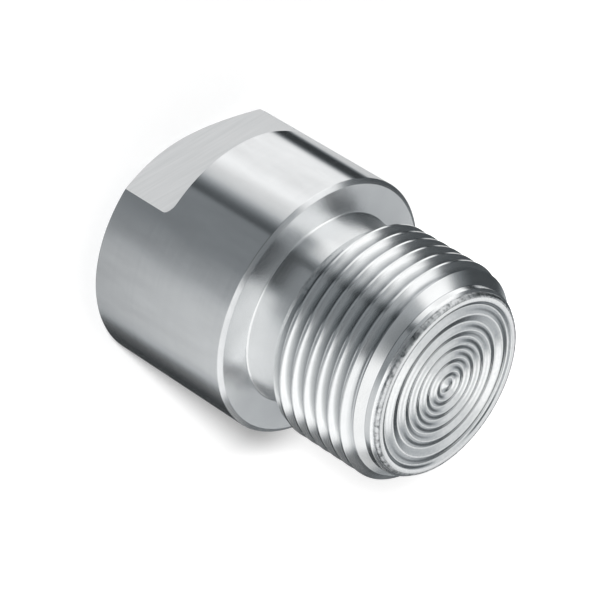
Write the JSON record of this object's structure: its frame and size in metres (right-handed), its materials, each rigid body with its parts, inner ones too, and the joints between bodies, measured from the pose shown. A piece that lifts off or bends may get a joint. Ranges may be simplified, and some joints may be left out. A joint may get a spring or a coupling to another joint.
{
  "type": "gauge diaphragm seal",
  "caption": "Turned stainless gauge seal with two wrench flats, a male pipe thread and a flush, welded corrugated diaphragm.",
  "frame": {"origin": "middle of the back face that it stands on, on the turning axis", "axes": "+Z along the turning axis from the back face to the diaphragm, +X square to one wrench flat"},
  "size_m": [0.04, 0.04, 0.053],
  "materials": {
    "turned_stainless": "bright turned stainless steel, fine lathe lines round the axis",
    "foil_stainless": "bright rolled and pressed stainless steel foil",
    "weld_stainless": "as-welded stainless steel, fine ripples"
  },
  "bodies": {
    "root": {"body": "turned_stainless", "diaphragm": "foil_stainless", "weld_seam": "weld_stainless"}
  },
  "joints": []
}
